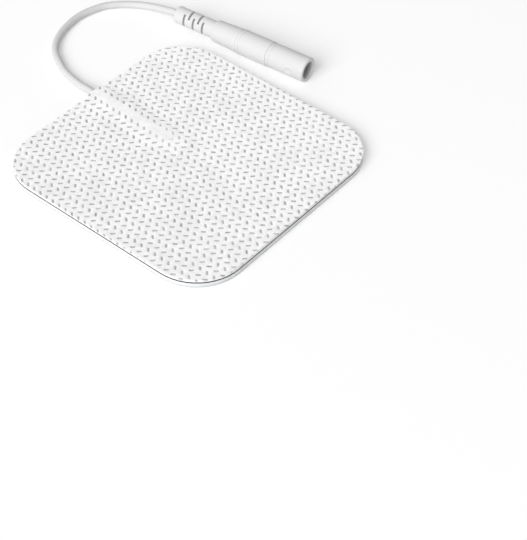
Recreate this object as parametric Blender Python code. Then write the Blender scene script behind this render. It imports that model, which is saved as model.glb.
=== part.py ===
# Square self-adhesive electrode pad with a pigtail lead that ends in a moulded 2 mm pin socket.
# The pad lies liner down on z = 0, its middle on the z axis. The lead leaves the +Y side.

import math

import bmesh
import bpy
import numpy as np
from mathutils import Vector

for old in list(bpy.data.objects):
    bpy.data.objects.remove(old)

# Pad outline, cut through all four layers by one die
pad_width = 0.064
pad_length = 0.064
corner_radius = 0.012
corner_steps = 12

# Layers from the skin side up, with the thin bond line that parts each from the next
liner_thickness = 0.00015
gel_thickness = 0.001
film_thickness = 0.0003
fabric_thickness = 0.0006
fabric_thinning = 0.0004
bond_line = 0.00005

# Lead, and how it lies between the conductive film, which it dents, and the fabric, which stretches over it
lead_diameter = 0.0018
lead_clearance = 0.00005
lead_sink = 0.00085
lead_under_fabric = 0.0215
lead_offset = 0.00206
lead_lean = 0.0332
tent_crown = 0.0003
tent_flank = 0.0027
tent_fall = 0.006
dish_crown = 0.0002
dish_flank = 0.0008
dish_fall = 0.0036
floor_clearance = 0.00005

# Bare strands, six round one in the insulation and fanned out on the film past its end
outer_strands = 6
strand_diameter = 0.00016
strand_pitch = 0.0002
strand_fan_width = 0.003
strand_length = 0.008
strand_spread = 0.0048
strand_fall = 0.0036
strand_plug_length = 0.0008
strand_plug_wall = 0.00003
fan_flank = 0.0018

# Socket housing, one soft PVC moulding. Distances run along its axis from the end that the lead enters
boot_diameter = 0.0044
boot_length = 0.0118
boot_nose = 0.0005
boot_nose_arc = 165
collar_round = 0.0004
shoulder_diameter = 0.0055
barrel_diameter = 0.00635
socket_length = 0.0391
rear_ring = 0.0195
front_ring = 0.0284
ring_band = 0.0009
ring_groove_depth = 0.00014
ring_groove_width = 0.0003
front_step = 0.0311
front_relief = 0.0001
lip_radius = 0.0004
mouth_bore = 0.0044
mouth_depth = 0.004
mouth_edge = 0.0002
entry_flare = 0.0003
entry_flare_length = 0.0012

# Strain relief slots, opposed pairs that turn a quarter from one ring to the next
slot_rings = 5
first_slot = 0.00325
slot_pitch = 0.00141
slot_width = 0.00055
slot_half_angle = math.radians(58)
slot_core_wall = 0.0002

# Thumb marks on the two sides of the barrel
thumb_mark_place = 0.0352
thumb_mark_length = 0.0022
thumb_mark_width = 0.0019
thumb_mark_depth = 0.00014

# Contact sleeve, a slit brass tube that grips a 2 mm pin, crimped on the lead behind
pin_bore = 0.00205
sleeve_wall = 0.00035
sleeve_length = 0.0155
crimp_length = 0.0045
web_length = 0.002
flange_height = 0.00035
flange_length = 0.0008
slit_width = 0.0003
slit_length = 0.010

# Where the socket lies beside the pad, and the way it points
socket_entry_x = 0.03732
socket_entry_y = 0.03647
socket_heading = math.radians(-84.6)

# Middle of the lead on its way to the socket, chosen by hand: x, y and how far it is lifted off the floor
lead_route = [
    (0.00230, 0.0346, 0.00062),
    (0.00272, 0.0376, 0.00018),
    (0.00351, 0.0418, 0),
    (0.00488, 0.0457, 0),
    (0.00848, 0.0515, 0),
    (0.01414, 0.0552, 0),
    (0.02190, 0.0568, 0),
    (0.02855, 0.0554, 0),
    (0.03200, 0.0531, 0),
    (0.03390, 0.0511, 0.00002),
    (0.03555, 0.0484, 0.00024),
    (0.03645, 0.0454, 0.00074),
    (0.03685, 0.0424, 0.00138),
    (0.03703, 0.0395, 0.00195),
]

turn_steps = 40
sheet_overhang = 0.016

# Heights of the stack
liner_top = liner_thickness
gel_bottom = liner_top + bond_line
gel_top = gel_bottom + gel_thickness
film_bottom = gel_top + bond_line
film_top = film_bottom + film_thickness
fabric_bottom = film_top + bond_line

lead_radius = lead_diameter / 2
lead_height = film_top - lead_sink + lead_clearance + lead_radius
lead_floor_height = lead_radius + floor_clearance
tent_height = lead_height + lead_radius + lead_clearance - fabric_bottom
fan_height = strand_diameter + 2 * lead_clearance
fan_crown = strand_fan_width / 2 + fan_height
top_share = 1 - fabric_thinning / tent_height
insulation_end = pad_length / 2 - lead_under_fabric
fan_end = insulation_end - strand_length

socket_radius = barrel_diameter / 2
socket_height = socket_radius
socket_axis = Vector((math.cos(socket_heading), math.sin(socket_heading), 0))
lead_bore = lead_radius + lead_clearance
sleeve_radius = pin_bore / 2 + sleeve_wall
sleeve_end = socket_length - mouth_depth - bond_line
sleeve_start = sleeve_end - sleeve_length - web_length - crimp_length


def make_material(name, colour, roughness, metallic=0.0):
    material = bpy.data.materials.new(name)
    material.use_nodes = True
    shader = material.node_tree.nodes["Principled BSDF"]
    shader.inputs["Base Color"].default_value = (*colour, 1)
    shader.inputs["Roughness"].default_value = roughness
    shader.inputs["Metallic"].default_value = metallic
    material.diffuse_color = (*colour, 1)
    return material


def add_object(name, bm, material=None, sharp=30):
    bmesh.ops.recalc_face_normals(bm, faces=bm.faces)
    mesh = bpy.data.meshes.new(name)
    bm.to_mesh(mesh)
    bm.free()
    obj = bpy.data.objects.new(name, mesh)
    bpy.context.scene.collection.objects.link(obj)
    if material:
        mesh.materials.append(material)
        mesh.shade_smooth()
        mesh.set_sharp_from_angle(angle=math.radians(sharp))
    else:
        obj.hide_render = True
        obj.display_type = "WIRE"
    return obj


def add_boolean(obj, cutter, operation):
    modifier = obj.modifiers.new(cutter.name, "BOOLEAN")
    modifier.object = cutter
    modifier.operation = operation


def ease(value, start, end):
    """0 up to start, 1 from end on, and a smooth rise between."""
    share = min(max((value - start) / (end - start), 0), 1)
    return share * share * (3 - 2 * share)


def lead_line(y):
    """x of the lead's middle under the fabric."""
    return lead_offset - lead_lean * (pad_length / 2 - y)


def tent_rise(across, y):
    """How far the fabric stands up over the lead and the fanned strands."""
    over_lead = ease(y, insulation_end - tent_fall, insulation_end - lead_clearance)
    over_fan = ease(y, fan_end - fan_flank, fan_end - lead_clearance)
    height = fan_height * over_fan + (tent_height - fan_height) * over_lead
    crown = fan_crown + (tent_crown - fan_crown) * over_lead
    foot = fan_crown + fan_flank + (lead_radius + tent_flank - fan_crown - fan_flank) * over_lead
    return height * (1 - ease(abs(across), crown, foot))


def dish_depth(across, y):
    """How far the lead has pressed the film and the gel down."""
    along = ease(y, insulation_end - dish_fall, insulation_end - lead_clearance)
    return lead_sink * along * (1 - ease(abs(across), dish_crown, lead_radius + dish_flank))


def rounded_outline(width, length, radius):
    corners = [(1, 1, 0), (-1, 1, 90), (-1, -1, 180), (1, -1, 270)]
    points = []
    for side_x, side_y, first in corners:
        middle = Vector((side_x * (width / 2 - radius), side_y * (length / 2 - radius), 0))
        for step in range(corner_steps + 1):
            angle = math.radians(first + 90 * step / corner_steps)
            points.append(middle + radius * Vector((math.cos(angle), math.sin(angle), 0)))
    return points


def prism(points, low, high):
    bm = bmesh.new()
    face = bm.faces.new([bm.verts.new((p.x, p.y, low)) for p in points])
    raised = bmesh.ops.extrude_face_region(bm, geom=[face])["geom"]
    moved = [v for v in raised if isinstance(v, bmesh.types.BMVert)]
    bmesh.ops.translate(bm, verts=moved, vec=(0, 0, high - low))
    return bm


def grid_lines(reach, fine_start, fine_end, fine_count):
    """Positions along one side of a sheet: close together where it is shaped, none where it is flat."""
    return [-reach, *np.linspace(fine_start, fine_end, fine_count), reach]


def sheet_block(low, high):
    """Oversize sheet between two height functions, ready for the die."""
    edge = max(fan_crown + fan_flank, lead_radius + tent_flank) + lead_clearance
    across_lines = grid_lines(pad_width / 2 + sheet_overhang, -edge, edge, 25)
    along_lines = grid_lines(pad_length / 2 + sheet_overhang, fan_end - fan_flank, insulation_end, 27)
    bm = bmesh.new()
    rows = []
    for height in (low, high):
        rows.append([
            [bm.verts.new((lead_line(y) + a, y, height(a, y))) for a in across_lines] for y in along_lines
        ])
    for grid in rows:
        for back, front in zip(grid, grid[1:]):
            for i in range(len(back) - 1):
                bm.faces.new((back[i], back[i + 1], front[i + 1], front[i]))
    below, above = rows
    rims = [(below[0], above[0]), (below[-1], above[-1])]
    rims += [([row[end] for row in below], [row[end] for row in above]) for end in (0, -1)]
    for lower, upper in rims:
        for i in range(len(lower) - 1):
            bm.faces.new((lower[i], lower[i + 1], upper[i + 1], upper[i]))
    return bm


def make_layers():
    outline = rounded_outline(pad_width, pad_length, corner_radius)
    stack_top = fabric_bottom + fabric_thickness + tent_height
    die = add_object("die", prism(outline, -stack_top, 2 * stack_top))

    liner_film = make_material("liner_film", (0.84, 0.85, 0.86), 0.25)
    add_object("release_liner", prism(outline, 0, liner_top), liner_film)

    layers = [
        ("gel_layer", lambda a, y: gel_bottom, lambda a, y: gel_top - dish_depth(a, y),
         make_material("hydrogel", (0.88, 0.89, 0.90), 0.15)),
        ("conductive_film", lambda a, y: film_bottom - dish_depth(a, y),
         lambda a, y: film_top - dish_depth(a, y),
         make_material("carbon_film", (0.012, 0.012, 0.011), 0.6)),
        ("fabric_backing", lambda a, y: fabric_bottom + tent_rise(a, y),
         lambda a, y: fabric_bottom + fabric_thickness + tent_rise(a, y) * top_share,
         make_material("nonwoven_fabric", (0.88, 0.88, 0.88), 0.9)),
    ]
    for name, low, high, material in layers:
        layer = add_object(name, sheet_block(low, high), material, sharp=50)
        add_boolean(layer, die, "INTERSECT")


def smooth_curve(points, step):
    """Points about one step apart on a Catmull-Rom curve through the given points."""
    ends = [2 * points[0] - points[1], *points, 2 * points[-1] - points[-2]]
    dense = []
    for p0, p1, p2, p3 in zip(ends, ends[1:], ends[2:], ends[3:]):
        for share in np.linspace(0, 1, 24, endpoint=False):
            dense.append(0.5 * (
                2 * p1 + (p2 - p0) * share
                + (2 * p0 - 5 * p1 + 4 * p2 - p3) * share ** 2
                + (3 * p1 - p0 - 3 * p2 + p3) * share ** 3
            ))
    dense.append(points[-1])
    lengths = [0]
    for a, b in zip(dense, dense[1:]):
        lengths.append(lengths[-1] + (b - a).length)
    count = round(lengths[-1] / step)
    places = np.linspace(0, lengths[-1], count + 1)
    columns = [np.interp(places, lengths, [p[axis] for p in dense]) for axis in range(3)]
    return [Vector(place) for place in zip(*columns)]


def socket_point(distance):
    return Vector((socket_entry_x, socket_entry_y, socket_height)) + socket_axis * distance


def make_lead():
    edge = pad_length / 2
    under = [insulation_end, (insulation_end + edge) / 2, edge - lead_diameter, edge + lead_radius]
    points = [Vector((lead_line(y), y, lead_height)) for y in under]
    points += [Vector((x, y, lead_floor_height + lift)) for x, y, lift in lead_route]
    lead_end = sleeve_start + crimp_length - lead_clearance
    points += [socket_point(d) for d in (-lead_diameter, lead_diameter, boot_length, lead_end)]
    curve = bpy.data.curves.new("lead_wire", "CURVE")
    curve.dimensions = "3D"
    curve.bevel_depth = lead_radius
    curve.bevel_resolution = 2
    curve.use_fill_caps = True
    spline = curve.splines.new("POLY")
    route = smooth_curve(points, 2 * lead_diameter)
    spline.points.add(len(route) - 1)
    for place, point in zip(route, spline.points):
        point.co = (*place, 1)
    curve.materials.append(make_material("lead_pvc", (0.86, 0.86, 0.86), 0.4))
    bpy.context.scene.collection.objects.link(bpy.data.objects.new("lead_wire", curve))


def tube(path, radius, sides=6):
    """Closed tube of flat-ended rings square to Y, for strands that run mostly along Y."""
    bm = bmesh.new()
    rings = []
    for place in path:
        turns = [2 * math.pi * side / sides for side in range(sides)]
        rings.append([bm.verts.new(place + radius * Vector((math.cos(t), 0, math.sin(t)))) for t in turns])
    for back, front in zip(rings, rings[1:]):
        for i in range(sides):
            bm.faces.new((back[i], back[i - 1], front[i - 1], front[i]))
    bm.faces.new(rings[0])
    bm.faces.new(rings[-1])
    return bm


def make_strands():
    """A short end of the bundle where it leaves the insulation, and the strands that spread from it."""
    start = insulation_end - lead_clearance
    radius = strand_diameter / 2
    rest = film_top + lead_clearance + radius
    plug_path = [Vector((lead_line(y), y, lead_height)) for y in (start, start - strand_plug_length)]
    plug = tube(plug_path, strand_pitch + radius + strand_plug_wall, 16)
    tinned_copper = make_material("tinned_copper", (0.75, 0.72, 0.68), 0.35, 1.0)
    strands = add_object("lead_strands", plug, tinned_copper)

    # The first turn of the ring sets all seven an even step apart, seen from above
    first_turn = math.asin(1 / math.sqrt(4 * (outer_strands + 1)))
    turns = [first_turn + 2 * math.pi * number / outer_strands for number in range(outer_strands)]
    bundle = [(strand_pitch * math.cos(t), strand_pitch * math.sin(t)) for t in turns] + [(0, 0)]
    spread_out = (strand_fan_width / 2 - radius) / (strand_pitch * math.cos(first_turn))
    for number, (across, above) in enumerate(bundle):
        path = []
        for run in np.linspace(strand_plug_length / 2, strand_length, 15):
            y = start - run
            fanned = ease(run, strand_plug_length, strand_spread)
            fallen = ease(run, strand_plug_length, strand_fall)
            x = lead_line(y) + across * (1 + (spread_out - 1) * fanned)
            path.append(Vector((x, y, lead_height + above * (1 - fanned) + (rest - lead_height) * fallen)))
        strand = add_object(f"strand_{number}", tube(path, radius))
        add_boolean(strands, strand, "UNION")


def turned(profile, closed):
    """Solid of revolution about X from (distance, radius) points."""
    bm = bmesh.new()
    verts = [bm.verts.new((distance, 0, radius)) for distance, radius in profile]
    pairs = list(zip(verts, verts[1:])) + ([(verts[-1], verts[0])] if closed else [])
    edges = [bm.edges.new(pair) for pair in pairs]
    bmesh.ops.spin(bm, geom=verts + edges, cent=(0, 0, 0), axis=(1, 0, 0), angle=2 * math.pi,
                   steps=turn_steps, use_merge=True)
    bmesh.ops.remove_doubles(bm, verts=bm.verts, dist=0.000001)
    return bm


def arc(middle_distance, middle_radius, radius, first, last, steps):
    angles = [math.radians(first + (last - first) * step / steps) for step in range(steps + 1)]
    return [(middle_distance + radius * math.cos(a), middle_radius + radius * math.sin(a)) for a in angles]


def ring_grooves(place, radius_before, radius_after):
    """Two fine grooves with a band between them."""
    half = ring_groove_width / 2
    points = []
    for groove, before, after in (
        (place, radius_before, radius_after),
        (place + ring_band, radius_after, radius_after),
    ):
        floor = min(before, after) - ring_groove_depth
        points += [(groove - half, before), (groove - half / 2, floor)]
        points += [(groove + half / 2, floor), (groove + half, after)]
    return points


def housing_profile():
    boot_radius = boot_diameter / 2
    shoulder_radius = shoulder_diameter / 2
    front_radius = socket_radius - front_relief / 2
    outer = arc(boot_nose, boot_radius - boot_nose, boot_nose, boot_nose_arc, 90, 5)
    outer += [(boot_length, boot_radius)]
    outer += arc(boot_length + collar_round, shoulder_radius - collar_round, collar_round, 180, 90, 4)
    outer += ring_grooves(rear_ring, socket_radius - front_relief, socket_radius)
    outer += ring_grooves(front_ring, socket_radius, socket_radius - front_relief)
    outer += [(front_step - front_relief, socket_radius - front_relief), (front_step, front_radius)]
    outer += arc(socket_length - lip_radius, front_radius - lip_radius, lip_radius, 90, 0, 5)

    mouth_radius = mouth_bore / 2
    mouth_floor = socket_length - mouth_depth
    pocket = sleeve_radius + bond_line
    flange_start = sleeve_start + crimp_length + web_length / 2 - bond_line
    flange_end = flange_start + flange_length + 2 * bond_line
    inner = [
        (socket_length, mouth_radius + mouth_edge),
        (socket_length - mouth_edge, mouth_radius),
        (mouth_floor, mouth_radius),
        (mouth_floor, pocket),
        (flange_end, pocket),
        (flange_end, pocket + flange_height),
        (flange_start, pocket + flange_height),
        (flange_start, pocket),
        (sleeve_start - bond_line, pocket),
        (sleeve_start - bond_line, lead_bore),
        (entry_flare_length, lead_bore),
        (outer[0][0], lead_bore + entry_flare),
    ]
    return outer + inner


def slot_cutter():
    """All the strain relief slots as one cutter: thin sectors outside a core round the lead."""
    bm = bmesh.new()
    inner = lead_bore + slot_core_wall
    outer = boot_diameter / 2 + slot_width
    for ring in range(slot_rings):
        place = first_slot + ring * slot_pitch
        for side in (0, math.pi):
            middle = side + (math.pi / 2 if ring % 2 else 0)
            angles = np.linspace(middle - slot_half_angle, middle + slot_half_angle, 11)
            loop = [(inner, a) for a in angles] + [(outer, a) for a in angles[::-1]]
            verts = [
                bm.verts.new((place - slot_width / 2, radius * math.cos(a), radius * math.sin(a)))
                for radius, a in loop
            ]
            sector = bmesh.ops.extrude_face_region(bm, geom=[bm.faces.new(verts)])["geom"]
            moved = [v for v in sector if isinstance(v, bmesh.types.BMVert)]
            bmesh.ops.translate(bm, verts=moved, vec=(slot_width, 0, 0))
    return bm


def thumb_mark_cutter(side):
    """Flat ellipsoid that takes a shallow oval out of the barrel's side."""
    bm = bmesh.new()
    bmesh.ops.create_uvsphere(bm, u_segments=24, v_segments=12, radius=1)
    surface = socket_radius - front_relief / 2
    size = (thumb_mark_length / 2, thumb_mark_depth * 2, thumb_mark_width / 2)
    bmesh.ops.scale(bm, verts=bm.verts, vec=size)
    place = (thumb_mark_place, side * (surface + thumb_mark_depth / 2), 0)
    bmesh.ops.translate(bm, verts=bm.verts, vec=place)
    return bm


def place_on_socket(obj):
    obj.location = socket_point(0)
    obj.rotation_euler = (0, 0, socket_heading)


def make_housing():
    moulded_pvc = make_material("moulded_pvc", (0.87, 0.87, 0.87), 0.38)
    housing = add_object("socket_housing", turned(housing_profile(), closed=True), moulded_pvc)
    cutters = [add_object("boot_slots", slot_cutter())]
    for number, side in enumerate((1, -1)):
        cutters.append(add_object(f"thumb_mark_{number}", thumb_mark_cutter(side)))
    for cutter in cutters:
        place_on_socket(cutter)
        add_boolean(housing, cutter, "DIFFERENCE")
    place_on_socket(housing)


def make_sleeve():
    crimp_end = sleeve_start + crimp_length
    tube_start = crimp_end + web_length
    flange_start = crimp_end + web_length / 2
    flange_end = flange_start + flange_length
    profile = [
        (crimp_end, 0),
        (crimp_end, lead_bore),
        (sleeve_start, lead_bore),
        (sleeve_start, sleeve_radius),
        (flange_start, sleeve_radius),
        (flange_start, sleeve_radius + flange_height),
        (flange_end, sleeve_radius + flange_height),
        (flange_end, sleeve_radius),
        (sleeve_end - sleeve_wall / 2, sleeve_radius),
        (sleeve_end, sleeve_radius - sleeve_wall / 2),
        (sleeve_end, pin_bore / 2 + sleeve_wall / 4),
        (sleeve_end - sleeve_wall, pin_bore / 2),
        (tube_start, pin_bore / 2),
        (tube_start, 0),
    ]
    nickel_brass = make_material("nickel_brass", (0.78, 0.74, 0.62), 0.25, 1.0)
    sleeve = add_object("contact_sleeve", turned(profile, closed=False), nickel_brass)
    bm = bmesh.new()
    bmesh.ops.create_cube(bm, size=1)
    bmesh.ops.scale(bm, verts=bm.verts, vec=(2 * slit_length, slit_width, 4 * sleeve_radius))
    bmesh.ops.translate(bm, verts=bm.verts, vec=(sleeve_end, 0, 0))
    slit = add_object("sleeve_slit", bm)
    for obj in (sleeve, slit):
        place_on_socket(obj)
    add_boolean(sleeve, slit, "DIFFERENCE")


make_layers()
make_lead()
make_strands()
make_housing()
make_sleeve()
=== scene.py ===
import math
import random

import bmesh
import bpy
from mathutils import Matrix, Vector, noise


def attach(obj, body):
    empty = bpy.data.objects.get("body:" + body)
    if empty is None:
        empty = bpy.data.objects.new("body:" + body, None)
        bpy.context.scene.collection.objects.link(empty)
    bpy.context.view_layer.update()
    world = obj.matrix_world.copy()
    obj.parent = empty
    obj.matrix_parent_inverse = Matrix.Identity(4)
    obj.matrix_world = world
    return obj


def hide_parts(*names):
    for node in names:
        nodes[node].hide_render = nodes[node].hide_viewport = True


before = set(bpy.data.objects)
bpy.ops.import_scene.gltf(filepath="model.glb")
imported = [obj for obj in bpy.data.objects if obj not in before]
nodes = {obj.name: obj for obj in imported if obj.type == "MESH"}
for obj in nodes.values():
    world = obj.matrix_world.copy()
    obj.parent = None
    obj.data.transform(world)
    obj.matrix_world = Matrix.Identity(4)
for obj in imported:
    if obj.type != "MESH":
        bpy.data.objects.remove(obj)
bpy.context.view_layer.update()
scene = bpy.context.scene

# Camera, over the pad's front left corner, with the lead on the far side

cameraView = dict(
    target=(-0.0249, -0.0279, 0.0022), azimuth=-49.2, elevation=45.7, distance=0.343,
    focalPixels=1607, centreColumn=210, imageWidth=527, imageHeight=540, sensorWidth=36,
)


def directionTo(azimuth, elevation):
    turn, tilt = math.radians(azimuth), math.radians(elevation)
    return Vector((math.sin(turn) * math.cos(tilt), -math.cos(turn) * math.cos(tilt), math.sin(tilt)))


def makeCamera():
    v = cameraView
    back = directionTo(v["azimuth"], v["elevation"])
    data = bpy.data.cameras.new("camera")
    data.sensor_width = v["sensorWidth"]
    data.lens = v["focalPixels"] / v["imageHeight"] * v["sensorWidth"]
    data.shift_x = (v["imageWidth"] / 2 - v["centreColumn"]) / v["imageHeight"]
    data.clip_start, data.clip_end = 0.01, 20
    camera = bpy.data.objects.new("camera", data)
    camera.location = Vector(v["target"]) + back * v["distance"]
    camera.rotation_mode = "QUATERNION"
    camera.rotation_quaternion = (-back).to_track_quat("-Z", "Y")
    scene.collection.objects.link(camera)
    scene.camera = camera
    scene.view_settings.view_transform = "Standard"


# Shader maths: a socket that can be added, multiplied and compared


class Shade:
    def __init__(self, tree, socket=None):
        self.tree, self.socket = tree, socket

    def node(self, kind, settings=None, sockets=None, out=0):
        made = self.tree.nodes.new("ShaderNode" + kind)
        for name, value in (settings or {}).items():
            setattr(made, name, value)
        for name, value in (sockets or {}).items():
            if isinstance(value, Shade):
                self.tree.links.new(value.socket, made.inputs[name])
            else:
                made.inputs[name].default_value = value
        return None if out is None else Shade(self.tree, made.outputs[out])

    def maths(self, operation, first, second):
        return self.node("Math", {"operation": operation}, {0: first, 1: second})

    def __add__(self, other):
        return self.maths("ADD", self, other)

    def __sub__(self, other):
        return self.maths("SUBTRACT", self, other)

    def __rsub__(self, other):
        return self.maths("SUBTRACT", other, self)

    def __mul__(self, other):
        return self.maths("MULTIPLY", self, other)

    __radd__ = __add__
    __rmul__ = __mul__

    def __abs__(self):
        return self.maths("ABSOLUTE", self, 0)

    def power(self, other):
        return self.maths("POWER", self, other)

    def larger(self, other):
        return self.maths("MAXIMUM", self, other)

    def step(self, low, high):
        return self.node("MapRange", {"interpolation_type": "SMOOTHSTEP"},
                         {"Value": self, "From Min": low, "From Max": high})

    def blend(self, first, second):
        return self.node("Mix", {"data_type": "RGBA"}, {0: self, 6: first, 7: second}, out=2)

    def noise(self, scale, detail=3, rough=0.55):
        return self.node("TexNoise", {}, {
            "Vector": self.place(), "Scale": scale, "Detail": detail, "Roughness": rough})

    def place(self):
        return self.node("TexCoord", out=3)

    def split(self):
        outputs = self.node("SeparateXYZ", {}, {0: self}).socket.node.outputs
        return [Shade(self.tree, out) for out in outputs]

    def pastOutline(self):
        # metres outside the pad's rounded outline, below 0 inside it
        reach = pad["side"] / 2 - pad["cornerRadius"]
        x, y = self.place().split()[:2]
        overX, overY = (abs(x) - reach).larger(0), (abs(y) - reach).larger(0)
        return (overX * overX + overY * overY).power(0.5) - pad["cornerRadius"]

    def bump(self, height, strength, distance):
        return self.node("Bump", {}, {"Height": height, "Strength": strength, "Distance": distance})


def newFinish(name, **plain):
    material = bpy.data.materials.new(name)
    material.use_nodes = True
    tree = material.node_tree
    shader = tree.nodes["Principled BSDF"]
    for socket, value in plain.items():
        shader.inputs[socket.replace("_", " ")].default_value = value

    def wire(socket, shade):
        tree.links.new(shade.socket, shader.inputs[socket])

    return material, Shade(tree), wire


def grey(level, tint=(1, 1, 1)):
    return (level * tint[0], level * tint[1], level * tint[2], 1)


def fabricFinish():
    material, shade, wire = newFinish(
        "nonwovenFabric", Sheen_Weight=0.15, Sheen_Roughness=0.6, Diffuse_Roughness=1.0)
    pressed = shade.node("Attribute", {"attribute_name": "pressed"}, out=2)
    cloud = shade.noise(900, detail=4, rough=0.6)
    fibre = shade.noise(4200, detail=3, rough=0.7)
    tone = (cloud * 0.7 + fibre * 0.3).step(0.3, 0.75)
    drift = shade.noise(240, detail=2, rough=0.5)
    rim = shade.pastOutline().step(-fabric["rimWidth"], 0)
    plain = (tone * 0.7 + drift.step(0.3, 0.7) * 0.3).blend(grey(0.79), grey(0.95))
    fused = tone.blend(grey(0.33), grey(0.50))
    wire("Base Color", pressed.blend(plain, fused))
    wire("Roughness", 0.95 - pressed * 0.3)
    cut = shade.bump(0 - rim, strength=1, distance=fabric["rimDrop"])
    wire("Normal", shade.node("Bump", {}, {
        "Height": fibre + cloud, "Strength": 0.5, "Distance": 0.00006, "Normal": cut}))
    return material


def filmFinish():
    material, shade, wire = newFinish("carbonFilm", Specular_IOR_Level=0.35)
    specks = shade.noise(2600, detail=2, rough=0.5).step(0.62, 0.72)
    wire("Base Color", specks.blend(grey(0.011), grey(0.05)))
    wire("Roughness", 0.7 - specks * 0.2)
    wire("Normal", shade.bump(shade.noise(3000, detail=2), strength=0.2, distance=0.00003))
    return material


def gelFinish():
    material, shade, wire = newFinish(
        "hydrogel", IOR=1.37, Subsurface_Weight=0.35, Subsurface_Radius=(0.001, 0.001, 0.001),
        Subsurface_Scale=1.0, Coat_Weight=0.4, Coat_Roughness=0.08)
    cloud, tint = shade.noise(500), (0.98, 1, 1.01)
    wire("Base Color", cloud.blend(grey(0.78, tint), grey(0.86, tint)))
    wire("Roughness", 0.12 + cloud * 0.12)
    wire("Normal", shade.bump(shade.noise(700, detail=2), strength=0.15, distance=0.00005))
    return material


def linerFinish():
    material, shade, wire = newFinish("linerFilm", IOR=1.5, Transmission_Weight=0.25, Coat_Weight=0.2)
    cloud, tint = shade.noise(300), (0.99, 1, 1.01)
    wire("Base Color", cloud.blend(grey(0.80, tint), grey(0.85, tint)))
    wire("Roughness", 0.25 + cloud * 0.15)
    wire("Normal", shade.bump(shade.noise(260, detail=2), strength=0.1, distance=0.0001))
    return material


def pvcFinish(name, level, bumpScale, paintedShade=None):
    material, shade, wire = newFinish(
        name, IOR=1.5, Specular_IOR_Level=0.12, Subsurface_Weight=0.05,
        Subsurface_Radius=(0.0003, 0.0003, 0.0003), Subsurface_Scale=1.0)
    cloud = shade.noise(250)
    colour = cloud.blend(grey(level - 0.02), grey(level + 0.01))
    # painted shade: the base colour darkens down the mouth and in the slots, where the mask is high
    if paintedShade:
        colour = paintedShade(shade).blend(colour, grey(level * paintedShadeSizes["darkest"]))
    wire("Base Color", colour)
    wire("Roughness", 0.66 + cloud * 0.14)
    wire("Normal", shade.bump(shade.noise(bumpScale, detail=2), strength=0.08, distance=0.00004))
    return material


def metalFinish(name, level, tint):
    material, shade, wire = newFinish(name, Metallic=1.0)
    scratches = shade.noise(1800, detail=2)
    wire("Base Color", scratches.blend(grey(level - 0.05, tint), grey(level + 0.03, tint)))
    wire("Roughness", 0.2 + scratches * 0.15)
    wire("Normal", shade.bump(scratches, strength=0.05, distance=0.00001))
    return material


# Sizes of the pad and the lead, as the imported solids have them

pad = dict(
    side=0.064, cornerRadius=0.012, cornerSteps=12, edgeAngle=60,
    fabricBottom=0.0016, fabricThickness=0.0006, thinning=0.0004,
)
lead = dict(
    diameter=0.0018, underFabric=0.0215, offset=0.00206, lean=0.0332, height=0.00165, floorHeight=0.00095,
    strandLength=0.008, tentHeight=0.001, tentFall=0.006, crown=0.0003, foot=0.0036,
    fanHeight=0.00026, fanCrown=0.00176, fanFlank=0.0018, clearance=0.00005,
)


def ease(value, start, end):
    share = min(max((value - start) / (end - start), 0), 1)
    return share * share * (3 - 2 * share)


def leadLine(y):
    return lead["offset"] - lead["lean"] * (pad["side"] / 2 - y)


insulationEnd = pad["side"] / 2 - lead["underFabric"]
fanEnd = insulationEnd - lead["strandLength"]


def tentRise(across, y, leadFoot):
    # how high the fabric is lifted, first by the fanned strands and then by the lead
    onLead = ease(y, insulationEnd - lead["tentFall"], insulationEnd - lead["clearance"])
    onFan = ease(y, fanEnd - lead["fanFlank"], fanEnd - lead["clearance"])
    height = lead["fanHeight"] * onFan + (lead["tentHeight"] - lead["fanHeight"]) * onLead
    fanFoot = lead["fanCrown"] + lead["fanFlank"]
    crown = lead["fanCrown"] + (lead["crown"] - lead["fanCrown"]) * onLead
    foot = fanFoot + (leadFoot - fanFoot) * onLead
    return height * (1 - ease(abs(across), crown, foot))


# Lead, socket and contact

socketPlace = dict(entry=(0.03732, 0.03647, 0.003175), heading=math.radians(-84.6))
socketMatrix = Matrix.Translation(socketPlace["entry"]) @ Matrix.Rotation(socketPlace["heading"], 4, "Z")

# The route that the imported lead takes: x, y and how far it is lifted off the floor
leadRoute = [
    (0.00230, 0.0346, 0.00062),
    (0.00272, 0.0376, 0.00018),
    (0.00351, 0.0418, 0),
    (0.00488, 0.0457, 0),
    (0.00848, 0.0515, 0),
    (0.01414, 0.0552, 0),
    (0.02190, 0.0568, 0),
    (0.02855, 0.0554, 0),
    (0.03200, 0.0531, 0),
    (0.03390, 0.0511, 0.00002),
    (0.03555, 0.0484, 0.00024),
    (0.03645, 0.0454, 0.00074),
    (0.03685, 0.0424, 0.00138),
    (0.03703, 0.0395, 0.00195),
]
leadEnds = dict(boot=0.0118, crimp=0.0175)
leadMesh = dict(step=0.0004, finePoints=24, roundness=8)


def smoothCurve(points, step):
    # points a step apart on a Catmull-Rom curve through the given ones
    ends = [2 * points[0] - points[1], *points, 2 * points[-1] - points[-2]]
    dense = []
    for a, b, c, d in zip(ends, ends[1:], ends[2:], ends[3:]):
        for i in range(leadMesh["finePoints"]):
            t = i / leadMesh["finePoints"]
            dense.append(0.5 * (2 * b + (c - a) * t + (2 * a - 5 * b + 4 * c - d) * t ** 2
                                + (3 * b - a - 3 * c + d) * t ** 3))
    dense.append(points[-1])
    placed, run = [dense[0]], 0
    for before, after in zip(dense, dense[1:]):
        run += (after - before).length
        if run >= step:
            placed.append(after)
            run = 0
    placed[-1] = points[-1]
    return placed


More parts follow.
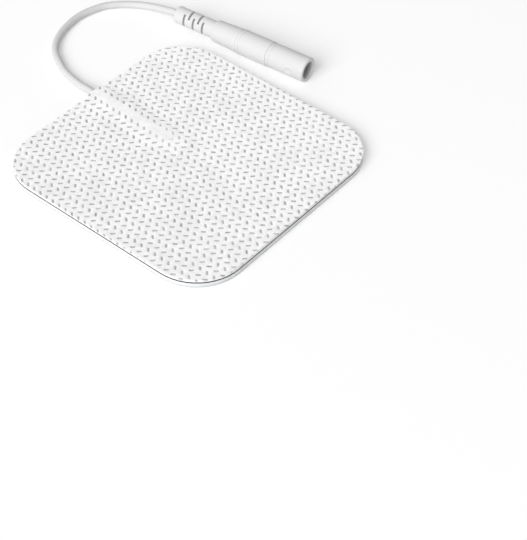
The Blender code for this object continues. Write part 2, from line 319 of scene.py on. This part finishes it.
def makeLead():
    edge, width = pad["side"] / 2, lead["diameter"]
    under = [insulationEnd, (insulationEnd + edge) / 2, edge - width, edge + width / 2]
    points = [Vector((leadLine(y), y, lead["height"])) for y in under]
    points += [Vector((x, y, lead["floorHeight"] + lift)) for x, y, lift in leadRoute]
    inside = [-width, width, leadEnds["boot"], leadEnds["crimp"]]
    points += [socketMatrix @ Vector((distance, 0, 0)) for distance in inside]
    route = smoothCurve(points, leadMesh["step"])
    curve = bpy.data.curves.new("leadCord", "CURVE")
    curve.dimensions = "3D"
    curve.bevel_depth = width / 2
    curve.bevel_resolution = leadMesh["roundness"]
    curve.use_fill_caps = True
    spline = curve.splines.new("POLY")
    spline.points.add(len(route) - 1)
    for place, point in zip(route, spline.points):
        point.co = (*place, 1)
    spline.use_smooth = True
    curve.materials.append(pvcFinish("leadPvc", level=0.71, bumpScale=1500))
    cord = bpy.data.objects.new("leadCord", curve)
    scene.collection.objects.link(cord)
    length = sum((b - a).length for a, b in zip(route, route[1:]))
    print("lead length", round(length, 4))
    return cord, length, Vector((leadLine(edge), edge, lead["height"]))


# Under these distances and this angle, points and faces count as one
meshing = dict(planeDistance=1e-7, mergeDistance=1e-6, sliverDistance=2e-6, flatAngle=1)


def newPiece(name, bm, finish):
    mesh = bpy.data.meshes.new(name)
    bm.to_mesh(mesh)
    bm.free()
    mesh.materials.append(finish)
    mesh.shade_smooth()
    piece = bpy.data.objects.new(name, mesh)
    scene.collection.objects.link(piece)
    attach(piece, "root")
    return piece


# Fabric backing: one dash pressed into each cell of a sheared grid

fabric = dict(
    rowPitch=0.00173, dashPitch=0.00202, lean=1.9, rowPlace=0.0010, dashPlace=0.0004,
    spanAcross=0.53, spanAlong=0.8, seed=7, weakestDash=0.7,
    dashLengths=(0.00116, 0.00112), dashWidths=(0.00044, 0.00052),
    dashAngles=(-47, 51), angleSpread=6, squareness=0.6,
    rings=((1.35, 0.00001, 0), (1, 0.00008, 0.85), (0.78, 0.00012, 1)), inset=0.00002,
    puff=0.00002, puffScale=600, ridgeFoot=0.0056, ridgeMargin=0.0005,
    rimWidth=0.00028, rimDrop=0.00009,
)

# Where the dashes fade round the lead: along it from the end of the insulation, and across it
dashFading = dict(
    start=0.006, full=0.002, near=0.0006, far=0.0013,
    tipStart=0.004, tipEnd=0.005, tipNear=0.0010, tipFar=0.0030, tipShare=0.6,
)


def insideOutline(x, y, margin):
    radius = pad["cornerRadius"]
    reach = pad["side"] / 2 - radius
    away = Vector((max(abs(x) - reach, 0), max(abs(y) - reach, 0)))
    return away.length <= radius + margin


def outward(angle):
    return Vector((math.cos(math.radians(angle)), math.sin(math.radians(angle)), 0))


def trimToOutline(bm):
    half, radius, steps = pad["side"] / 2, pad["cornerRadius"], pad["cornerSteps"]
    cuts = [(Vector((half, 0, 0)), 0), (Vector((0, half, 0)), 90),
            (Vector((-half, 0, 0)), 180), (Vector((0, -half, 0)), 270)]
    inner = Vector((half - radius, half - radius, 0))
    reach = radius * math.cos(math.radians(45 / steps))
    for corner in range(4):
        middle = Matrix.Rotation(math.radians(90 * corner), 3, "Z") @ inner
        for step in range(steps):
            angle = 90 * corner + 90 * (step + 0.5) / steps
            cuts.append((middle + outward(angle) * reach, angle))
    for place, angle in cuts:
        bmesh.ops.bisect_plane(
            bm, geom=bm.verts[:] + bm.edges[:] + bm.faces[:], dist=meshing["planeDistance"],
            plane_co=place, plane_no=outward(angle), clear_outer=True)


def makeFabric():
    f = fabric
    columns = 2 * math.ceil(pad["side"] * f["spanAcross"] / f["rowPitch"]) + 1
    rows = 2 * math.ceil(pad["side"] * f["spanAlong"] / f["dashPitch"]) + 1
    bm = bmesh.new()
    bmesh.ops.create_grid(bm, x_segments=columns, y_segments=rows, size=0.5)
    bmesh.ops.scale(bm, verts=bm.verts, vec=(columns * f["rowPitch"], rows * f["dashPitch"], 1))
    shear = Matrix.Identity(4)
    shear[1][0] = f["dashPitch"] / 2 / f["rowPitch"]
    bmesh.ops.transform(bm, matrix=shear, verts=bm.verts)

    lean = Matrix.Rotation(-math.radians(f["lean"]), 4, "Z")
    lattice = Matrix.Translation((f["rowPlace"], f["dashPlace"], 0)) @ lean
    rowOf = {}
    cells = []
    spare = []
    for face in bm.faces:
        middle = face.calc_center_median()
        placed = lattice @ middle
        if insideOutline(placed.x, placed.y, f["dashPitch"]):
            cells.append(face)
            rowOf[face] = round(middle.x / f["rowPitch"])
        else:
            spare.append(face)
    bmesh.ops.delete(bm, geom=spare, context="FACES")
    bmesh.ops.transform(bm, matrix=lattice, verts=bm.verts)
    bmesh.ops.bisect_edges(bm, edges=bm.edges, cuts=1)
    pressed = bm.verts.layers.float.new("pressed")

    dice = random.Random(f["seed"])
    strength = {face: dice.uniform(f["weakestDash"], 1) for face in cells}
    turn = {face: math.radians(f["dashAngles"][rowOf[face] % 2] - f["lean"]
                               + dice.uniform(-f["angleSpread"], f["angleSpread"])) for face in cells}
    for share, depth, tone in f["rings"]:
        bmesh.ops.inset_individual(bm, faces=cells, thickness=f["inset"])
        for face in cells:
            middle = face.calc_center_median()
            faded = dashFade(middle.x, middle.y)
            spin = Matrix.Rotation(turn[face], 3, "Z")
            width = f["dashWidths"][rowOf[face] % 2] / 2
            length = f["dashLengths"][rowOf[face] % 2] / 2 + width * (share - 1)
            for vert in face.verts:
                local = (spin.transposed() @ (vert.co - middle)).normalized()
                size = Vector((
                    length * math.copysign(abs(local.x) ** f["squareness"], local.x),
                    width * share * math.copysign(abs(local.y) ** f["squareness"], local.y), 0))
                vert.co = middle + spin @ size
                vert.co.z = -depth * faded
                vert[pressed] = tone * faded * strength[face]

    shaped = [edge for edge in bm.edges if all(nearLead(vert.co) for vert in edge.verts)]
    bmesh.ops.subdivide_edges(bm, edges=shaped, cuts=1, use_grid_fill=True)
    trimToOutline(bm)
    bmesh.ops.dissolve_degenerate(bm, edges=bm.edges, dist=meshing["sliverDistance"])
    keptRise = 1 - pad["thinning"] / lead["tentHeight"]
    for vert in bm.verts:
        x, y = vert.co.xy
        vert.co.z += pad["fabricBottom"] + pad["fabricThickness"]
        vert.co.z += tentRise(x - leadLine(y), y, f["ridgeFoot"]) * keptRise
        vert.co.z += f["puff"] * noise.noise(Vector((x, y, 0)) * f["puffScale"])

    lower = bmesh.ops.extrude_face_region(bm, geom=bm.faces[:])["geom"]
    for vert in lower:
        if isinstance(vert, bmesh.types.BMVert):
            x, y = vert.co.xy
            vert.co.z = pad["fabricBottom"] + tentRise(x - leadLine(y), y, lead["foot"])
            vert[pressed] = 0
    bmesh.ops.recalc_face_normals(bm, faces=bm.faces)
    print("fabric faces", len(bm.faces))
    piece = newPiece("fabricSheet", bm, fabricFinish())
    piece.data.set_sharp_from_angle(angle=math.radians(pad["edgeAngle"]))
    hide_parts("fabric_backing")


def nearLead(place):
    across = abs(place.x - leadLine(place.y))
    return across < fabric["ridgeFoot"] + fabric["ridgeMargin"] and place.y > fanEnd - lead["fanFlank"]


def dashFade(x, y):
    # 0 where the fabric is stretched smooth over the lead, 1 where the dashes are whole
    d = dashFading
    across = abs(x - leadLine(y))
    alongLead = ease(y, insulationEnd - d["start"], insulationEnd - d["full"])
    onLead = alongLead * (1 - ease(across, d["near"], d["far"]))
    alongTip = ease(y, fanEnd, insulationEnd - d["tipStart"])
    alongTip *= 1 - ease(y, insulationEnd, insulationEnd + d["tipEnd"])
    onTip = d["tipShare"] * alongTip * (1 - ease(across, d["tipNear"], d["tipFar"]))
    return 1 - max(onLead, onTip)


# Film, gel and liner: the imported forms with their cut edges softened

softEdges = dict(
    conductive_film=("filmSheet", 0.00004, 2, filmFinish, "carbon_film"),
    gel_layer=("gelSheet", 0.00006, 3, gelFinish, "hydrogel"),
    release_liner=("linerSheet", 0.00003, 2, linerFinish, "liner_film"),
)


def roundEdges(piece, width, segments, fromAngle):
    rounded = piece.modifiers.new("roundedEdges", "BEVEL")
    rounded.width, rounded.segments = width, segments
    rounded.limit_method, rounded.angle_limit = "ANGLE", math.radians(fromAngle)
    rounded.harden_normals = True


def makeSoftened(node):
    name, width, segments, finish, slot = softEdges[node]
    bm = bmesh.new()
    bm.from_mesh(nodes[node].data)
    bmesh.ops.remove_doubles(bm, verts=bm.verts, dist=meshing["mergeDistance"])
    bmesh.ops.dissolve_limit(bm, angle_limit=math.radians(meshing["flatAngle"]),
                             verts=bm.verts, edges=bm.edges)
    piece = newPiece(name, bm, finish())
    roundEdges(piece, width, segments, pad["edgeAngle"])
    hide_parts(node)


# Socket housing, turned about its own axis and then laid in place

housing = dict(
    length=0.0391, bootRadius=0.0022, bootLength=0.0118, nose=0.0005,
    shoulderRadius=0.00275, collarRound=0.0004, barrelRadius=0.003175,
    rearRing=0.0195, frontRing=0.0284, ringBand=0.0009, ringDepth=0.0001, ringWidth=0.0003,
    frontStep=0.0311, relief=0.0001, lip=0.0004,
    mouthRadius=0.0022, mouthDepth=0.004, mouthEdge=0.0002,
    leadBore=0.00095, entryFlare=0.0003, flareLength=0.0012,
    pocket=0.001425, pocketStart=0.013, flangeStart=0.0185, flangeEnd=0.0194, flangeHeight=0.00035,
    slots=5, firstSlot=0.00325, slotPitch=0.00141, slotWidth=0.00062, slotHalfAngle=59,
    slotCore=0.00115, slotReach=1.2, slotSteps=20,
    markPlace=0.0352, markLength=0.0022, markWidth=0.0019, markDepth=0.00014, markSides=48,
    turns=96, roundSteps=6, mouthSteps=4, sharpAngle=18,
    edgeRound=0.00005, edgeSteps=2, edgeAngle=40,
)
# Painted shade in the housing's slots and mouth: how dark it gets and over which depths and radii
paintedShadeSizes = dict(
    darkest=0.7, slotShade=0.2, slotDark=0.0006, slotLight=0.00015,
    mouthLight=0.0002, mouthDark=0.0012, mouthInner=0.00003, mouthOuter=0.0001,
)


def paintedRecessShade(shade):
    # painted shade: 1 down the mouth, which stays in the dark, and a share of that in the slots, where
    # the base colour is darkened as shade would darken it
    h, r = housing, paintedShadeSizes
    level = shade.node("Mapping", {}, {
        "Vector": shade.place(), "Location": socketMatrix.inverted().translation,
        "Rotation": (0, 0, -socketPlace["heading"])})
    along, across, up = level.split()
    radius = (across * across + up * up).power(0.5)
    pastNose = along.step(h["nose"] * 2, h["nose"] * 2.5)
    pastBoot = along.step(h["bootLength"], h["bootLength"] + h["lip"])
    bootSkin = radius.step(h["bootRadius"] - r["slotDark"], h["bootRadius"] - r["slotLight"])
    slots = pastNose * (1 - pastBoot) * (1 - bootSkin)
    down = (h["length"] - along).step(r["mouthLight"], r["mouthDark"])
    mouthWall = radius.step(h["mouthRadius"] + r["mouthInner"], h["mouthRadius"] + r["mouthOuter"])
    mouth = down * (1 - mouthWall) * along.step(h["bootLength"], h["frontStep"])
    return slots * r["slotShade"] + mouth


def arc(middle, height, radius, first, last, steps):
    angles = [math.radians(first + (last - first) * i / steps) for i in range(steps + 1)]
    return [(middle + radius * math.cos(a), height + radius * math.sin(a)) for a in angles]


def housingProfile():
    h = housing
    half, eased = h["ringWidth"] / 2, h["barrelRadius"] - h["relief"]
    front, steps = h["barrelRadius"] - h["relief"] / 2, h["roundSteps"]
    line = arc(h["nose"], h["bootRadius"] - h["nose"], h["nose"], 165, 90, steps)
    line += [(h["bootLength"], h["bootRadius"])]
    collarMiddle = h["bootLength"] + h["collarRound"]
    line += arc(collarMiddle, h["shoulderRadius"] - h["collarRound"], h["collarRound"], 180, 90, steps)
    for place, before, after in (
        (h["rearRing"], eased, h["barrelRadius"]),
        (h["rearRing"] + h["ringBand"], h["barrelRadius"], h["barrelRadius"]),
        (h["frontRing"], h["barrelRadius"], eased),
        (h["frontRing"] + h["ringBand"], eased, eased),
    ):
        floor = min(before, after) - h["ringDepth"]
        line += [(place - half, before), (place - half / 2, floor)]
        line += [(place + half / 2, floor), (place + half, after)]
    line += [(h["frontStep"] - h["relief"], eased), (h["frontStep"], front)]
    # closer rings where the thumb marks are cut
    line += [(h["markPlace"] + h["markLength"] * i / 4, front) for i in range(-3, 4)]
    line += arc(h["length"] - h["lip"], front - h["lip"], h["lip"], 90, 0, steps)
    edge = h["mouthEdge"]
    line += arc(h["length"] - edge, h["mouthRadius"] + edge, edge, 0, -90, h["mouthSteps"])

    # back inside: the mouth's floor, the pocket of the contact and its flange, the lead's bore
    floor = h["length"] - h["mouthDepth"]
    pocket, flange = h["pocket"], h["pocket"] + h["flangeHeight"]
    line += [(floor, h["mouthRadius"]), (floor, pocket)]
    line += [(h["flangeEnd"], pocket), (h["flangeEnd"], flange)]
    line += [(h["flangeStart"], flange), (h["flangeStart"], pocket)]
    line += [(h["pocketStart"], pocket), (h["pocketStart"], h["leadBore"])]
    line += [(h["flareLength"], h["leadBore"]), (line[0][0], h["leadBore"] + h["entryFlare"])]
    return line


def turned(line):
    bm = bmesh.new()
    verts = [bm.verts.new((distance, 0, radius)) for distance, radius in line]
    edges = [bm.edges.new(pair) for pair in zip(verts, verts[1:] + verts[:1])]
    bmesh.ops.spin(bm, geom=verts + edges, cent=(0, 0, 0), axis=(1, 0, 0), angle=2 * math.pi,
                   steps=housing["turns"], use_merge=True)
    bmesh.ops.remove_doubles(bm, verts=bm.verts, dist=meshing["mergeDistance"])
    bmesh.ops.recalc_face_normals(bm, faces=bm.faces)
    return bm


def slotCutter():
    h = housing
    bm = bmesh.new()
    for ring in range(h["slots"]):
        for side in (0, 180):
            start = side + (90 if ring % 2 else 0) - h["slotHalfAngle"]
            place = h["firstSlot"] + ring * h["slotPitch"] - h["slotWidth"] / 2
            first = Matrix.Rotation(math.radians(start), 3, "X")
            reaches = (h["slotCore"], h["bootRadius"] * h["slotReach"])
            ends = [bm.verts.new(first @ Vector((place, reach, 0))) for reach in reaches]
            before = set(bm.faces)
            bmesh.ops.spin(bm, geom=[*ends, bm.edges.new(ends)], cent=(0, 0, 0), axis=(1, 0, 0),
                           angle=math.radians(2 * h["slotHalfAngle"]), steps=h["slotSteps"])
            fan = [face for face in bm.faces if face not in before]
            moved = bmesh.ops.extrude_face_region(bm, geom=fan)["geom"]
            bmesh.ops.translate(bm, verts=[v for v in moved if isinstance(v, bmesh.types.BMVert)],
                                vec=(h["slotWidth"], 0, 0))
    bmesh.ops.recalc_face_normals(bm, faces=bm.faces)
    return bm


def markCutter(side):
    h = housing
    bm = bmesh.new()
    bmesh.ops.create_uvsphere(bm, u_segments=h["markSides"], v_segments=h["markSides"] // 2, radius=1)
    size = (h["markLength"] / 2, h["markDepth"] * 2, h["markWidth"] / 2)
    bmesh.ops.scale(bm, verts=bm.verts, vec=size)
    offset = side * (h["barrelRadius"] - h["relief"] / 2 + h["markDepth"] / 2)
    bmesh.ops.translate(bm, verts=bm.verts, vec=(h["markPlace"], offset, 0))
    return bm


def cutAway(piece, bm):
    mesh = bpy.data.meshes.new("cutter")
    bm.to_mesh(mesh)
    bm.free()
    cutter = bpy.data.objects.new("cutter", mesh)
    scene.collection.objects.link(cutter)
    cut = piece.modifiers.new("cut", "BOOLEAN")
    cut.object, cut.operation = cutter, "DIFFERENCE"
    bpy.context.view_layer.update()
    evaluated = piece.evaluated_get(bpy.context.evaluated_depsgraph_get())
    shaped = bpy.data.meshes.new_from_object(evaluated)
    piece.modifiers.clear()
    bm = bmesh.new()
    bm.from_mesh(shaped)
    bmesh.ops.remove_doubles(bm, verts=bm.verts, dist=meshing["sliverDistance"])
    bmesh.ops.dissolve_degenerate(bm, edges=bm.edges, dist=meshing["sliverDistance"])
    bm.to_mesh(shaped)
    bm.free()
    piece.data = shaped
    bpy.data.objects.remove(cutter)


def makeHousing():
    h = housing
    # the moulding's colour carries painted shade in its slots and down its mouth
    finish = pvcFinish("mouldedPvc", level=0.74, bumpScale=900, paintedShade=paintedRecessShade)
    piece = newPiece("socketHousing", turned(housingProfile()), finish)
    for cutter in (slotCutter(), markCutter(1), markCutter(-1)):
        cutAway(piece, cutter)
    piece.data.transform(socketMatrix)
    piece.data.shade_smooth()
    piece.data.set_sharp_from_angle(angle=math.radians(h["sharpAngle"]))
    roundEdges(piece, h["edgeRound"], h["edgeSteps"], h["edgeAngle"])
    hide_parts("socket_housing")
    return piece


# Floor and light

studio = dict(
    floorSize=3.0, floorSides=64, floorDrop=0.00002, floorLevel=0.86, floorLift=0.225, worldStrength=0.44,
    keyPower=79, keySize=2.1, keyDistance=3.0, keyAzimuth=-86, keyElevation=34,
)


def seenRay(tree):
    # 1 for what the camera sees, straight or in gloss or glass
    rays = Shade(tree).node("LightPath").socket.node.outputs
    straight, gloss, glass = (
        Shade(tree, rays[f"Is {kind} Ray"]) for kind in ("Camera", "Glossy", "Transmission"))
    return straight.larger(gloss).larger(glass)


def makeStudio():
    s = studio
    bm = bmesh.new()
    bmesh.ops.create_circle(bm, cap_ends=True, segments=s["floorSides"], radius=s["floorSize"])
    bmesh.ops.translate(bm, verts=bm.verts, vec=(0, 0, -s["floorDrop"]))
    mesh = bpy.data.meshes.new("floor")
    bm.to_mesh(mesh)
    bm.free()
    floor = bpy.data.objects.new("floor", mesh)
    scene.collection.objects.link(floor)

    material = bpy.data.materials.new("paleFloor")
    material.use_nodes = True
    tree = material.node_tree
    tree.nodes.clear()
    shade = Shade(tree)
    matte = shade.node("BsdfDiffuse", {}, {"Color": grey(s["floorLevel"])})
    lift = shade.node("Emission", {}, {"Color": grey(1), "Strength": seenRay(tree) * s["floorLift"]})
    both = shade.node("AddShader", {}, {0: matte, 1: lift})
    shade.node("OutputMaterial", {}, {"Surface": both}, out=None)
    mesh.materials.append(material)

    world = bpy.data.worlds.new("softRoom")
    scene.world = world
    world.use_nodes = True
    tree = world.node_tree
    background = tree.nodes["Background"]
    background.inputs["Color"].default_value = grey(1)
    level = seenRay(tree) * (1 - s["worldStrength"]) + s["worldStrength"]
    tree.links.new(level.socket, background.inputs["Strength"])

    back = directionTo(s["keyAzimuth"], s["keyElevation"])
    lamp = bpy.data.lights.new("keyLight", "AREA")
    lamp.shape, lamp.size, lamp.energy = "DISK", s["keySize"], s["keyPower"]
    key = bpy.data.objects.new("keyLight", lamp)
    key.location = back * s["keyDistance"]
    key.rotation_euler = (-back).to_track_quat("-Z", "Y").to_euler()
    scene.collection.objects.link(key)


makeCamera()
cord, cordLength, cordExit = makeLead()
print("camera and lead")
for node in softEdges:
    makeSoftened(node)
print("film, gel and liner")
makeFabric()
print("fabric")
socketPiece = makeHousing()
print("socket housing")
for node, finish in (
    ("contact_sleeve", metalFinish("nickelBrass", level=0.72, tint=(1, 0.96, 0.86))),
    ("lead_strands", metalFinish("tinnedCopper", level=0.68, tint=(1, 0.97, 0.92))),
):
    nodes[node].data.materials.clear()
    nodes[node].data.materials.append(finish)
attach(cord, "root")
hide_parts("lead_wire")
makeStudio()
print("studio")
